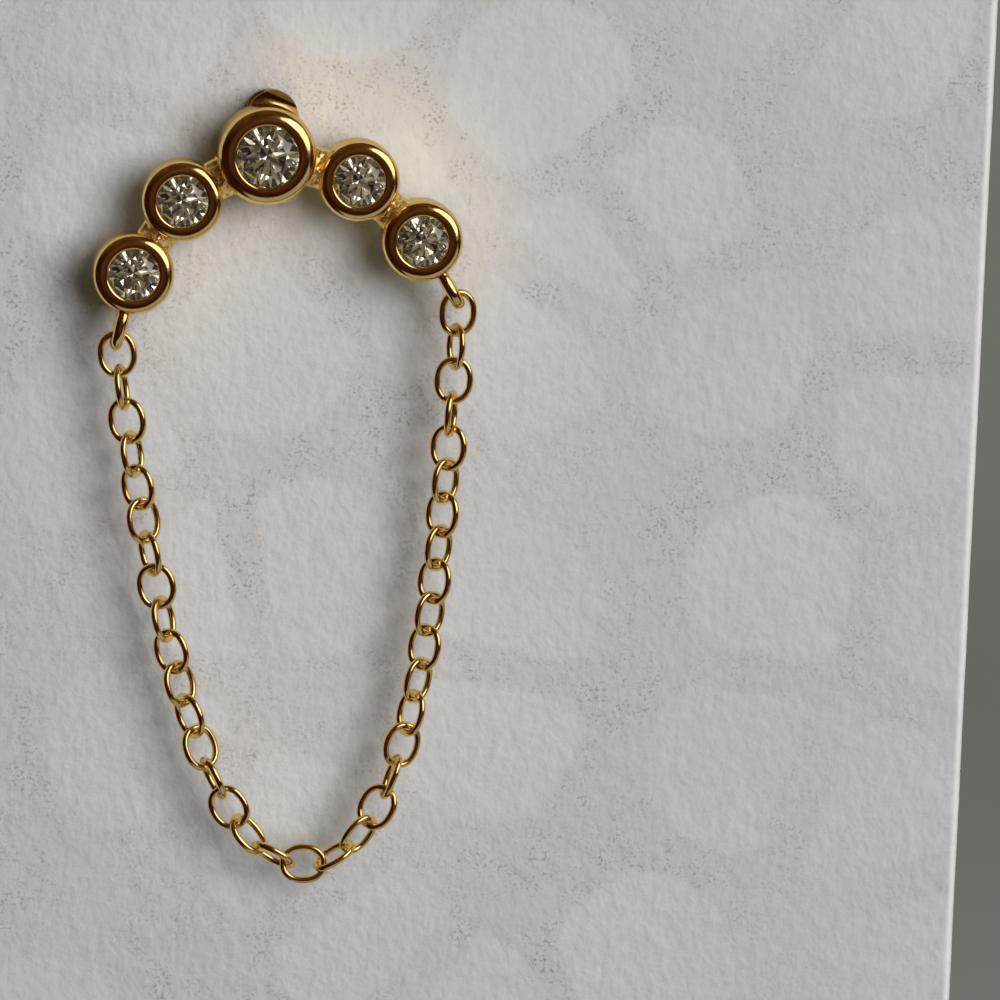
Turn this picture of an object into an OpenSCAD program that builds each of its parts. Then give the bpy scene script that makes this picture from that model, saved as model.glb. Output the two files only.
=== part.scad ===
// Ear chain earring pinned to a card: five rub-over set stones in an arc, with a fine
// chain hanging as a loop from its two ends. Millimetres. The origin is where the post
// enters the face of the card, -Y is towards the viewer and +Z is up, against gravity.

/* [Stones] */
// Diameter of the middle stone at its girdle
centre_stone_d = 3.0; // [2.6:0.1:3.2]
// Diameter of each of the four other stones at its girdle
side_stone_d = 2.5; // [2.1:0.1:2.7]
// Width of the table as a share of the stone's diameter
table_share = 0.57; // [0.5:0.01:0.64]
// Angle of the crown's main facets from the girdle plane
crown_angle = 34.5; // [30:0.5:38]
// Angle of the pavilion's main facets from the girdle plane
pavilion_angle = 40.8; // [38:0.2:43]
// Thickness of the girdle as a share of the stone's diameter
girdle_share = 0.03; // [0.02:0.005:0.05]

/* [Bezels] */
// Outer diameter of the middle bezel
centre_bezel_d = 4.27; // [4.1:0.01:4.8]
// Outer diameter of each of the four other bezels
side_bezel_d = 3.56; // [3.4:0.01:4.0]
// How far the rubbed-over lip covers the edge of a stone
lip_cover = 0.14; // [0.08:0.01:0.2]
// Share of the rim's width that its outer rounding takes
rim_outer_share = 0.71; // [0.5:0.01:0.8]
// Depth of a stone's table below the crest of its rim
table_drop = 0.04; // [0:0.01:0.15]
// Thickness of the closed back of the middle bezel
back_t = 0.4; // [0.3:0.05:0.8]
// Space between the middle stone's point and the closed back
centre_point_gap = 0.13; // [0.05:0.01:0.5]
// Height of a side stone's point above the open back of its bezel
side_point_rise = 0.34; // [0.1:0.01:0.8]
// Clearance between a stone and the metal round it
stone_gap = 0.02; // [0.01:0.005:0.04]

/* [Arc of bezels] */
// Space between neighbouring bezels, bridged by solder
bezel_space = 0.32; // [0.15:0.01:0.6]
// Fall of the line from the middle bezel to the next one, in degrees
inner_fall = 22; // [10:1:35]
// Fall of the line from that bezel to the end one, in degrees
outer_fall = 50; // [35:1:65]
// Radius of the hollow sides of a solder neck
neck_hollow_r = 0.6; // [0.4:0.05:1]
// Height of the solder necks above the back of the setting
neck_h = 1.15; // [0.6:0.05:1.4]
// Turn of the whole head about its post, right end up
head_tilt = 4; // [-10:0.5:10]

/* [Chain loops] */
// Diameter of the wire of the loops on the end bezels
loop_wire = 0.56; // [0.4:0.02:0.7]
// How far a loop reaches out of its bezel
loop_reach = 1.75; // [1.5:0.05:2.4]
// Width of a loop from front to back
loop_w = 1.7; // [1.5:0.05:1.9]
// Lean of the left loop, outwards from straight down the head
left_loop_lean = 20; // [0:1:45]
// Lean of the right loop, outwards from straight down the head
right_loop_lean = 24; // [0:1:45]

/* [Chain] */
// Number of links in the chain
link_count = 36; // [28:1:44]
// Outer length of a link
link_l = 2.135; // [2:0.005:2.4]
// Outer width of a link
link_w = 1.73; // [1.6:0.01:1.8]
// Diameter of the wire of a link
link_wire = 0.3; // [0.24:0.01:0.32]
// Clearance between the wires of two linked links
link_gap = 0.03; // [0.02:0.01:0.06]

/* [Post and nut] */
// Diameter of the ear post
post_d = 0.8; // [0.7:0.05:1]
// Length of the ear post behind the setting
post_l = 10; // [8:0.5:12]
// Length of the post's tapered tip
post_tip_l = 0.4; // [0.2:0.1:0.8]
// Height of the post above the middle of the centre bezel
post_rise = 0.6; // [0:0.05:1]
// Length of the nut across its two curls
nut_l = 4.35; // [3.8:0.05:5.4]
// Width of the nut's plate
nut_w = 2.27; // [1.8:0.01:2.6]
// Thickness of the nut's plate
nut_t = 0.25; // [0.2:0.05:0.35]
// Turn of the nut about the post, from the line of the head
nut_turn = 65; // [0:5:180]
// Clearance between the nut and the post
nut_post_gap = 0.06; // [0.03:0.01:0.1]
// Space between the back of the head and the nut
nut_front_gap = 0.15; // [0.05:0.05:0.5]
// Space between the nut and the card
nut_card_gap = 0.25; // [0.05:0.05:0.6]

/* [Card] */
// Width of the card
card_w = 65.5; // [50:0.5:90]
// Height of the card
card_h = 65; // [60:0.5:110]
// Thickness of the card
card_t = 0.8; // [0.3:0.1:1.5]
// Height of the card's top edge above the post
card_top_rise = 17; // [10:0.5:25]
// Lean of the card about the post, top to the right
card_lean = 4.4; // [-10:0.1:10]
// Clearance between the post and the card's hole
card_hole_gap = 0.05; // [0.03:0.01:0.2]

/* [Hidden] */
$fn = 48;
LEFT = -1;
RIGHT = 1;

// Radii and levels of the bezels, measured from the flat back of the setting
centre_r = centre_bezel_d / 2;
side_r = side_bezel_d / 2;
centre_point_level = back_t + centre_point_gap;
loop_level = bezel_h(side_stone_d, side_point_rise) / 2;

// Middles of the bezels, seen from the front with the post at [0, 0]
centre_seat = [0, -post_rise];
function inner_seat(side) = centre_seat
    + (centre_r + side_r + bezel_space) * [side * cos(inner_fall), -sin(inner_fall)];
function end_seat(side) = inner_seat(side)
    + (2 * side_r + bezel_space) * [side * cos(outer_fall), -sin(outer_fall)];

// Loops: the share of the wall that they are set into, which way they point and the middle
// of the wire that a link hangs on
LOOP_ROOT_SHARE = 0.85;
loop_root = LOOP_ROOT_SHARE * (side_r - side_stone_d / 2 - stone_gap);
loop_l = loop_root + loop_reach;
function loop_lean(side) = side == LEFT ? left_loop_lean : right_loop_lean;
function loop_way(side) = [side * sin(loop_lean(side)), -cos(loop_lean(side))];
function hook(side) = end_seat(side) + (side_r + loop_reach - loop_wire / 2) * loop_way(side);

// The nut's curls run from its ends to the post, so they set how far the head stands off
curl_r = (nut_l / 2 - post_d / 2 - nut_post_gap) / 2;
curl_x = nut_l / 2 - curl_r;
standoff = nut_front_gap + 2 * curl_r + nut_card_gap;
chain_y = -standoff - loop_level;

// Proportions of the round brilliant cut that the driving angles leave open
FACETS = 8;
step_angle = 360 / FACETS;
half_step = step_angle / 2;
star_share = 0.55;
lower_share = 0.22;
function crown_h(d) = d / 2 * (1 - table_share) * tan(crown_angle);
function pavilion_h(d) = d / 2 * tan(pavilion_angle);
function stone_h(d) = crown_h(d) + girdle_share * d + pavilion_h(d);

// A bezel is as high as its stone, the space under the point and the drop of the table
function bezel_h(d, point_level) = point_level + stone_h(d) + table_drop;

// Slopes of the lip and of the seat, just steeper than the stone's own facets beside them
LIP_SLOPE = 45;
SEAT_SLOPE = 45;
SEAT_SHARE = 0.8;
ARC_STEPS = 6;

// How far a solder neck's hollow side cuts into the bezel beside it
NECK_BITE = 0.02;

// Turn of each link about its own length, from the left loop down and up to the right one:
// 0 faces the viewer, and a positive turn takes the side inside the chain's loop backwards
TWISTS = [0, 75, -20, 58, -38, 33, -65, -10, 58, -34, 40, -52,
    30, -76, -14, 56, -67, 6, 77, -46, 25, 85, -20, 55,
    -46, 40, -40, 38, -46, 40, -46, 28, -74, -2, 72, -14];

// The joint of two links is the middle of the clearance between their wires. Where the
// chain bends, each wire rides up the side of the other link's round end, so the links move
// together a little.
link_pitch = link_l - 2 * link_wire - link_gap;
loop_hold = (loop_wire + link_gap) / 2;
function way(angle) = [cos(angle), sin(angle)];
function turned(p) = p.x * way(head_tilt) + p.y * way(head_tilt + 90);
function bend_slack(bend) = (link_w - link_wire) / 4 * (1 - cos(bend));
function joint_slacks(angles) =
    [0, for (i = [1:link_count - 1]) bend_slack(angles[i] - angles[i - 1]), 0];
function link_spans(angles) =
    let (slacks = joint_slacks(angles))
    [for (i = [0:link_count - 1]) link_pitch - (slacks[i] + slacks[i + 1]) / 2];

// From the left loop's hook to the right one's, for links that lie at these angles
function chain_span(angles) =
    let (spans = link_spans(angles))
    [spans * [for (a = angles) cos(a)], spans * [for (a = angles) sin(a)]]
    - loop_hold * (way(angles[0]) + way(angles[link_count - 1]));

// The chain hangs freely: each link weighs the same, so the slope of the links grows by one
// equal step from link to link. The step and the place of the lowest point are found by
// halving, so that the chain ends at the right loop.
TRIES = 26;
LEAST_STEP = 0.01;
MOST_STEP = 20;
hook_span = turned(hook(RIGHT) - hook(LEFT));
function hanging(step, low) = [for (i = [1:link_count]) atan((i - low) * step)];
function find_low(step, a, b, tries) =
    let (low = (a + b) / 2)
    tries == 0 ? low
    : chain_span(hanging(step, low)).y > hook_span.y ? find_low(step, low, b, tries - 1)
    : find_low(step, a, low, tries - 1);
function low_for(step) = find_low(step, 1, link_count, TRIES);
function find_step(a, b, tries) =
    let (step = sqrt(a * b))
    tries == 0 ? step
    : chain_span(hanging(step, low_for(step))).x > hook_span.x ? find_step(step, b, tries - 1)
    : find_step(a, step, tries - 1);
slope_step = find_step(LEAST_STEP, MOST_STEP, TRIES);
link_angles = hanging(slope_step, low_for(slope_step));
chain_slacks = joint_slacks(link_angles);
chain_spans = link_spans(link_angles);
joints = [for (i = 0, p = turned(hook(LEFT)) - loop_hold * way(link_angles[0]); i < link_count;
    p = p + chain_spans[i] * way(link_angles[i]), i = i + 1) p];

STONES = [
    ["stone_centre", centre_seat, centre_stone_d, centre_point_level],
    ["stone_left_inner", inner_seat(LEFT), side_stone_d, side_point_rise],
    ["stone_left_end", end_seat(LEFT), side_stone_d, side_point_rise],
    ["stone_right_inner", inner_seat(RIGHT), side_stone_d, side_point_rise],
    ["stone_right_end", end_seat(RIGHT), side_stone_d, side_point_rise],
];
STONE_NAME = 0;
STONE_SEAT = 1;
STONE_D = 2;
STONE_LEVEL = 3;

function link_name(i) = str("link_", i < 9 ? "0" : "", i + 1);

// Stands what is drawn lying on its back, front up, on the front of the card
module on_head() {
    translate([0, -standoff, 0])
        rotate([0, -head_tilt, 0])
            rotate([90, 0, 0])
                children();
}

// The points of an arc, with or without its first one
function arc(centre, r, from, to, first = 0) = [for (k = [first:ARC_STEPS])
    let (a = from + (to - from) * k / ARC_STEPS)
    centre + r * [cos(a), sin(a)]];

function ring(n, r, z, turn = 0) =
    [for (k = [0:n - 1]) [r * cos(turn + 360 * k / n), r * sin(turn + 360 * k / n), z]];

// A round brilliant with its point at the origin: table, 8 star, 8 kite and 16 upper facets
// over the girdle, 16 lower and 8 main facets under it
module brilliant(d) {
    r = d / 2;
    table_r = r * table_share;
    girdle_low = pavilion_h(d);
    girdle_high = girdle_low + girdle_share * d;
    table_z = girdle_high + crown_h(d);
    star_r = (table_r + (r - table_r) * star_share) / cos(half_step) * cos(half_step / 2);
    star_z = girdle_high + (r - star_r * cos(half_step)) * tan(crown_angle);
    lower_r = r * lower_share;
    lower_z = lower_r * cos(half_step) * tan(pavilion_angle);
    table = 0;
    star = table + FACETS;
    upper = star + FACETS;
    lower = upper + 2 * FACETS;
    main = lower + 2 * FACETS;
    point = main + FACETS;
    function at(start, n, k) = start + (k + n) % n;
    points = concat(
        ring(FACETS, table_r, table_z),
        ring(FACETS, star_r, star_z, half_step),
        ring(2 * FACETS, r, girdle_high),
        ring(2 * FACETS, r, girdle_low),
        ring(FACETS, lower_r, lower_z, half_step),
        [[0, 0, 0]]);
    faces = concat(
        [[for (k = [FACETS - 1:-1:0]) table + k]],
        [for (k = [0:FACETS - 1]) each [
            [at(table, FACETS, k + 1), star + k, table + k],
            [star + k, upper + 2 * k, at(star, FACETS, k - 1), table + k],
            [upper + 2 * k + 1, upper + 2 * k, star + k],
            [at(upper, 2 * FACETS, 2 * k + 2), upper + 2 * k + 1, star + k],
            [lower + 2 * k, lower + 2 * k + 1, main + k],
            [lower + 2 * k + 1, at(lower, 2 * FACETS, 2 * k + 2), main + k],
            [point, at(main, FACETS, k - 1), lower + 2 * k, main + k]]],
        [for (j = [0:2 * FACETS - 1])
            [upper + j, at(upper, 2 * FACETS, j + 1), at(lower, 2 * FACETS, j + 1), lower + j]]);
    polyhedron(points, faces);
}

// A closed ring of round wire with its length along X and its width along Z: two half
// circles joined by straight sides
module oval_ring(l, w, wire) {
    bend_r = (w - wire) / 2;
    straight = l - w;
    for (end = [-1, 1]) {
        translate([end * straight / 2, 0, 0])
            rotate([90, 0, 0])
                rotate([0, 0, -90 * end])
                    rotate_extrude(angle = 180)
                        translate([bend_r, 0])
                            circle(d = wire);
        translate([-straight / 2, 0, end * bend_r])
            rotate([0, 90, 0])
                cylinder(d = wire, h = straight);
    }
}

// A turned bezel with a rounded rim, a lip over the stone's edge and a seat under it
module bezel(outer_r, stone_d, point_level, floor_t) {
    bore_r = stone_d / 2 + stone_gap;
    lip_r = stone_d / 2 - lip_cover;
    seat_r = stone_d / 2 * SEAT_SHARE;
    outer_round = (outer_r - lip_r) * rim_outer_share;
    inner_round = outer_r - lip_r - outer_round;
    h = bezel_h(stone_d, point_level);
    crest = outer_r - outer_round;
    girdle_low = point_level + pavilion_h(stone_d) - stone_gap;
    girdle_high = point_level + pavilion_h(stone_d) + girdle_share * stone_d + stone_gap;
    hollow = floor_t > 0 ? [[seat_r, floor_t], [0, floor_t], [0, 0]] : [[seat_r, 0]];
    rotate_extrude()
        polygon(concat(
            [[outer_r, 0]],
            arc([crest, h - outer_round], outer_round, 0, 90),
            arc([crest, h - inner_round], inner_round, 90, 180, first = 1),
            [[lip_r, girdle_high + (bore_r - lip_r) * tan(LIP_SLOPE)],
             [bore_r, girdle_high],
             [bore_r, girdle_low],
             [seat_r, girdle_low - (bore_r - seat_r) * tan(SEAT_SLOPE)]],
            hollow));
}

// Solder between two bezels: a block from middle to middle with hollowed sides, which ends
// inside both walls
module solder_neck(from, from_r, from_well_r, to, to_r, to_well_r) {
    line = to - from;
    dist = norm(line);
    near = from_r + neck_hollow_r;
    far = to_r + neck_hollow_r;
    x = (near * near - far * far + dist * dist) / (2 * dist);
    y = sqrt(near * near - x * x);
    translate([from.x, from.y, 0])
        rotate([0, 0, atan2(line.y, line.x)])
            linear_extrude(neck_h)
                difference() {
                    polygon([[0, 0], [x, -y], [dist, 0], [x, y]]);
                    for (side = [-1, 1])
                        translate([x, side * y])
                            circle(neck_hollow_r + NECK_BITE);
                    circle(from_well_r);
                    translate([dist, 0])
                        circle(to_well_r);
                }
}

module chain_loop(side) {
    out = loop_way(side);
    middle = end_seat(side) + (side_r - loop_root + loop_l / 2) * out;
    translate([middle.x, middle.y, loop_level])
        rotate([0, 0, atan2(out.y, out.x)])
            oval_ring(loop_l, loop_w, loop_wire);
}

module ear_post() {
    root = back_t / 2;
    translate([0, 0, post_tip_l - post_l])
        cylinder(d = post_d, h = post_l - post_tip_l + root);
    translate([0, 0, -post_l])
        cylinder(d1 = post_d / 2, d2 = post_d, h = post_tip_l);
}

// One soldered piece of metal: bezels, necks, loops and post
module setting() {
    centre_well = (centre_r + centre_stone_d / 2) / 2;
    side_well = (side_r + side_stone_d / 2) / 2;
    color("goldenrod")
        on_head()
            union() {
                translate([centre_seat.x, centre_seat.y, 0])
                    bezel(centre_r, centre_stone_d, centre_point_level, back_t);
                ear_post();
                for (side = [LEFT, RIGHT]) {
                    for (seat = [inner_seat(side), end_seat(side)])
                        translate([seat.x, seat.y, 0])
                            bezel(side_r, side_stone_d, side_point_rise, 0);
                    solder_neck(centre_seat, centre_r, centre_well, inner_seat(side), side_r, side_well);
                    solder_neck(inner_seat(side), side_r, side_well, end_seat(side), side_r, side_well);
                    chain_loop(side);
                }
            }
}

module stone(s) {
    color("gainsboro")
        on_head()
            translate([s[STONE_SEAT].x, s[STONE_SEAT].y, s[STONE_LEVEL]])
                brilliant(s[STONE_D]);
}

module chain_link(i) {
    angle = link_angles[i];
    middle = joints[i] + (link_pitch - chain_slacks[i]) / 2 * way(angle);
    color("gold")
        translate([middle.x, chain_y, middle.y])
            rotate([0, -angle, 0])
                rotate([-TWISTS[i % len(TWISTS)], 0, 0])
                    oval_ring(link_l, link_w, link_wire);
}

// The nut's strip seen edge on: a plate that curls back at both ends and in to the post
module nut_strip() {
    plate_z = -nut_front_gap;
    translate([-curl_x, plate_z - nut_t])
        square([2 * curl_x, nut_t]);
    for (side = [LEFT, RIGHT])
        scale([side, 1])
            translate([curl_x, plate_z - curl_r])
                difference() {
                    circle(curl_r);
                    circle(curl_r - nut_t);
                    translate([-2 * curl_r, 0])
                        square(2 * curl_r);
                }
}

module ear_nut() {
    lobe_x = (nut_l - nut_w) / 2;
    outline = [for (side = [RIGHT, LEFT]) for (k = [-ARC_STEPS:ARC_STEPS])
        let (a = 90 * k / ARC_STEPS)
        side * [lobe_x + nut_w / 2 * cos(a), nut_w / 2 * sin(a)]];
    color("goldenrod")
        on_head()
            rotate([0, 0, nut_turn])
                difference() {
                    intersection() {
                        rotate([90, 0, 0])
                            linear_extrude(2 * nut_w, center = true)
                                nut_strip();
                        translate([0, 0, -standoff])
                            linear_extrude(standoff)
                                polygon(outline);
                    }
                    translate([0, 0, -standoff])
                        cylinder(d = post_d + 2 * nut_post_gap, h = standoff);
                }
}

module card() {
    hole_d = post_d + 2 * card_hole_gap;
    color("lightgray")
        rotate([0, card_lean, 0])
            difference() {
                translate([-card_w / 2, 0, card_top_rise - card_h])
                    cube([card_w, card_t, card_h]);
                translate([0, 2 * card_t, 0])
                    rotate([90, 0, 0])
                        cylinder(d = hole_d, h = 3 * card_t);
            }
}

setting();
for (s = STONES) stone(s);
for (i = [0:link_count - 1]) chain_link(i);
ear_nut();
card();
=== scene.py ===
# %% [markdown]
# # An ear chain earring, pinned to its card
#
# Five round stones stand in polished gold bezels, soldered into an arc. A fine chain hangs from
# one end of the arc to the other, and a post carries the whole head through a card of cotton
# paper. The CAD model gives every place and size. This lesson gives the pieces their real
# surfaces: rims that were rubbed over by hand, round wire, granular solder, cut stones and paper.
#
# We start with the frame. It holds one object for each CAD part, in metres. The picture is
# developed plainly, with a slightly low gamma that deepens the shadows as a phone does.

# %% Load the frame
import math

import bmesh
import bpy
import numpy as np
from mathutils import Matrix, Vector, noise


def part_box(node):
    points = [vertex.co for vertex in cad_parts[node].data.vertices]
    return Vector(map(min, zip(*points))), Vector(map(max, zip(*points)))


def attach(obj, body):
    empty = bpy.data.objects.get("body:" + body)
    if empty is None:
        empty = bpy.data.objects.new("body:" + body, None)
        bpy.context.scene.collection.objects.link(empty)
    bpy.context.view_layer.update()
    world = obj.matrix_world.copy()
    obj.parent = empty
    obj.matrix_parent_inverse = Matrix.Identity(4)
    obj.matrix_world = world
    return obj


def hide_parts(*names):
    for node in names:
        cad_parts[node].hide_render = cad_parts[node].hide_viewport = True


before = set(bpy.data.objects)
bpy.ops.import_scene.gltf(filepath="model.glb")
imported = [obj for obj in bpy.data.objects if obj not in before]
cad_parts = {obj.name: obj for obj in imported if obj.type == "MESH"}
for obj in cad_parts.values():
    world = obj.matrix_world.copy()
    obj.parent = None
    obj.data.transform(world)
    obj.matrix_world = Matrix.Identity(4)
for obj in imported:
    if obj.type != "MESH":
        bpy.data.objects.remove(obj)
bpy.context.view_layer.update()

MM = 0.001
scene = bpy.context.scene
scene.view_settings.view_transform = "Standard"
scene.view_settings.gamma = 0.77

# %% [markdown]
# ## Where things are
#
# A goldsmith makes the head lying on its back on the bench. So we build it there too, in
# millimetres, with x to the right, y up the head and z out of the bench, and one matrix stands
# it on the card: turned upright, rolled four degrees about its post, and held off the card by
# the nut behind it.
#
# The stones are in the frame already, so each bezel takes its middle from its stone's box.
# Measuring like this is safer than copying numbers, because the two can never drift apart.

# %% The bench and the stones' places
STANDOFF = 2.115
HEAD_TILT = 4.0
on_head = (Matrix.Scale(MM, 4) @ Matrix.Translation((0, -STANDOFF, 0))
           @ Matrix.Rotation(math.radians(-HEAD_TILT), 4, "Y") @ Matrix.Rotation(math.radians(90), 4, "X"))

STONES = ["stone_left_end", "stone_left_inner", "stone_centre", "stone_right_inner", "stone_right_end"]


def on_bench(point):
    """A point of the frame, in metres, as seen on the bench, in millimetres."""
    return on_head.inverted() @ Vector(point)


def seat_of(stone):
    """The middle of a stone on the bench and its diameter."""
    low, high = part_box(stone)
    middle = on_bench((low + high) / 2)
    return Vector((middle.x, middle.y)), (high.x - low.x) / MM


for name in STONES:
    seat, across = seat_of(name)
    print(name, "at", [round(v, 3) for v in seat], "across", round(across, 2))

# %% [markdown]
# ## Small helpers
#
# Most pieces end the same way: a mesh in metres whose object sits at the origin, one material,
# faces pointing out, and a place on the body that carries it. Two helpers do that. Another adds
# a node to a tree and fills its sockets, so that a tree reads as a list of steps.

# %% Helpers for pieces and nodes
def add(tree, kind, sockets=None, **settings):
    """Adds a node. Sockets are filled by name or number, with a value or with another socket."""
    node = tree.nodes.new(kind)
    for key, value in settings.items():
        setattr(node, key, value)
    for key, value in (sockets or {}).items():
        if isinstance(value, bpy.types.NodeSocket):
            tree.links.new(value, node.inputs[key])
        else:
            node.inputs[key].default_value = value
    return node


def piece_from(name, mesh, material, *nodes, slot):
    """Makes the finished piece: named, dressed, riding the body and standing for its CAD nodes."""
    piece = bpy.data.objects.new(name, mesh)
    mesh.name = name
    scene.collection.objects.link(piece)
    mesh.materials.clear()
    mesh.materials.append(material)
    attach(piece, "root")
    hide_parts(*nodes)
    print(f"{name}: {sum(len(p.vertices) - 2 for p in mesh.polygons)} triangles, stands for {nodes[0]}"
          + (f" and {len(nodes) - 1} more" if len(nodes) > 1 else ""))
    return piece


def mesh_of(points, faces, matrix=None, smooth_below=35):
    """A closed mesh from bench points: doubles merged, normals outwards, soft bends smooth."""
    made = bmesh.new()
    corners = [made.verts.new(p) for p in points]
    for face in faces:
        made.faces.new([corners[i] for i in face])
    bmesh.ops.remove_doubles(made, verts=made.verts, dist=1e-5)
    bmesh.ops.dissolve_degenerate(made, edges=made.edges, dist=1e-6)
    bmesh.ops.recalc_face_normals(made, faces=made.faces)
    made.transform(matrix or Matrix.Scale(MM, 4))
    mesh = bpy.data.meshes.new("mesh")
    made.to_mesh(mesh)
    made.free()
    mesh.shade_smooth()
    mesh.set_sharp_from_angle(angle=math.radians(smooth_below))
    return mesh


# %% [markdown]
# ## Polished gold
#
# Polished gold is a mirror with a warm tint, so most of what we see in it is the room. What
# makes it real are small faults: polishing leaves faint swirls that widen the reflections, the
# surface is never quite flat, and the colour deepens a little where skin and time have been.
# All three come from noise on Object coordinates, in sizes of a real millimetre. At a grazing
# angle real gold stays golden, so the tint of the edge is set too. The solder is a little
# chalky. Beyond a set distance from the post the nut is painted dark brown: painted shade, for
# the dark that its curls mirror between the head and the card.

# %% The gold materials
GOLD_LIGHT = (1.0, 0.82, 0.42, 1)
GOLD_DEEP = (0.94, 0.72, 0.31, 1)
# Painted shade: the dark brown that the nut's curls are painted with, and how softly it sets in.
GOLD_PAINTED_SHADE = (0.34, 0.21, 0.08, 1)
GOLD_EDGE = (0.80, 0.68, 0.44, 1)
TINT_MM, SWIRL_MM, PAINTED_SHADE_EDGE_MM = 1.3, 0.35, 0.2


def gold(name, rough_low, rough_high, grain_mm, grain_height_mm, metallic=1.0, painted_shade_from_mm=None):
    """Gold whose polish varies between two roughnesses, with a grain of the given size and height.

    It can be painted dark brown beyond a distance from the post, as painted shade, and is a little chalky where
    metallic is below one."""
    material = bpy.data.materials.new(name)
    material.use_nodes = True
    tree = material.node_tree
    tree.nodes.clear()
    place = add(tree, "ShaderNodeTexCoord").outputs["Object"]
    clouds = add(tree, "ShaderNodeTexNoise", {"Vector": place, "Scale": 1 / (TINT_MM * MM), "Detail": 3.0,
                                              "Roughness": 0.6})
    tint = add(tree, "ShaderNodeValToRGB", {"Fac": clouds.outputs["Fac"]})
    tint.color_ramp.elements[0].position, tint.color_ramp.elements[0].color = 0.35, GOLD_DEEP
    tint.color_ramp.elements[1].position, tint.color_ramp.elements[1].color = 0.62, GOLD_LIGHT
    tint = tint.outputs["Color"]
    # Painted shade: beyond a set distance from the post the tint turns dark brown.
    if painted_shade_from_mm:
        away = add(tree, "ShaderNodeVectorMath", {0: place, 1: (1, 0, 1)}, operation="MULTIPLY")
        away = add(tree, "ShaderNodeVectorMath", {0: away.outputs[0]}, operation="LENGTH").outputs["Value"]
        painted_shade = add(tree, "ShaderNodeMapRange", {"Value": away, "From Min": painted_shade_from_mm * MM,
                                                "From Max": (painted_shade_from_mm + PAINTED_SHADE_EDGE_MM) * MM})
        tint = add(tree, "ShaderNodeMix", {"Factor": painted_shade.outputs[0], "A": tint, "B": GOLD_PAINTED_SHADE},
                   data_type="RGBA").outputs[2]
    swirls = add(tree, "ShaderNodeTexNoise", {"Vector": place, "Scale": 1 / (SWIRL_MM * MM), "Detail": 4.0,
                                              "Roughness": 0.7, "Distortion": 1.5})
    polish = add(tree, "ShaderNodeMapRange", {"Value": swirls.outputs["Fac"], "From Min": 0.3, "From Max": 0.75,
                                              "To Min": rough_low, "To Max": rough_high})
    grain = add(tree, "ShaderNodeTexNoise", {"Vector": place, "Scale": 1 / (grain_mm * MM), "Detail": 3.0,
                                             "Roughness": 0.55})
    bump = add(tree, "ShaderNodeBump", {"Height": grain.outputs["Fac"], "Strength": 1.0,
                                        "Distance": grain_height_mm * MM})
    shader = add(tree, "ShaderNodeBsdfPrincipled", {"Base Color": tint, "Metallic": metallic,
                                                    "Specular Tint": GOLD_EDGE,
                                                    "Roughness": polish.outputs["Result"],
                                                    "Normal": bump.outputs["Normal"]})
    add(tree, "ShaderNodeOutputMaterial", {"Surface": shader.outputs["BSDF"]})
    return material


polished_gold = gold("polished_gold", 0.11, 0.22, 0.5, 0.007)
wire_gold = gold("wire_gold", 0.12, 0.22, 0.45, 0.004)
solder_gold = gold("solder_gold", 0.20, 0.34, 0.30, 0.012, metallic=0.88)
# The nut's curls get painted shade, dark brown from 1.6 mm out from the post.
nut_gold = gold("nut_gold", 0.10, 0.22, 0.6, 0.006, painted_shade_from_mm=1.6)
print("gold materials:", [m.name for m in bpy.data.materials])

# %% [markdown]
# ## Geometry Nodes: a lathe
#
# A bezel is a ring turned to a profile, then rubbed over the edge of its stone. A revolved
# profile is the right model of that, and a tree can do it for any profile: the profile comes in
# as a chain of edges, becomes a curve and is swept round a circle. A little noise then moves
# the surface by a few thousandths of a millimetre, as a burnisher does. The same tree turns the
# ear post, so the only thing a piece has to bring is its profile.
#
# In a sweep the profile's x is measured from the path's own radius and its y points down, so
# the helper shifts and flips it first.

# %% The lathe tree
def new_tree(name, sockets):
    """A node tree with the given named inputs, returned with its input node."""
    tree = bpy.data.node_groups.new(name, "GeometryNodeTree")
    tree.interface.new_socket(name="Geometry", in_out="INPUT", socket_type="NodeSocketGeometry")
    for label, kind, value in sockets:
        socket = tree.interface.new_socket(name=label, in_out="INPUT", socket_type=kind)
        if value is not None:
            socket.default_value = value
    tree.interface.new_socket(name="Geometry", in_out="OUTPUT", socket_type="NodeSocketGeometry")
    return tree, tree.nodes.new("NodeGroupInput").outputs


def end_tree(tree, geometry, material, smooth=True):
    """Every tree ends alike: real geometry, smooth faces, its material, and out."""
    real = add(tree, "GeometryNodeRealizeInstances", {"Geometry": geometry})
    soft = add(tree, "GeometryNodeSetShadeSmooth", {"Geometry": real.outputs[0], "Shade Smooth": smooth})
    dressed = add(tree, "GeometryNodeSetMaterial", {"Geometry": soft.outputs[0], "Material": material})
    add(tree, "NodeGroupOutput", {0: dressed.outputs[0]})
    return tree


def run_tree(tree, base, values):
    """Runs a tree on a mesh with the given inputs and returns the plain mesh that comes out."""
    host = bpy.data.objects.new("host", base)
    scene.collection.objects.link(host)
    modifier = host.modifiers.new("tree", "NODES")
    modifier.node_group = tree
    for socket in tree.interface.items_tree:
        if socket.in_out == "INPUT" and socket.name in values:
            modifier[socket.identifier] = values[socket.name]
    graph = bpy.context.evaluated_depsgraph_get()
    mesh = bpy.data.meshes.new_from_object(host.evaluated_get(graph), depsgraph=graph)
    host.modifiers.clear()
    bpy.data.objects.remove(host)
    return mesh


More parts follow.
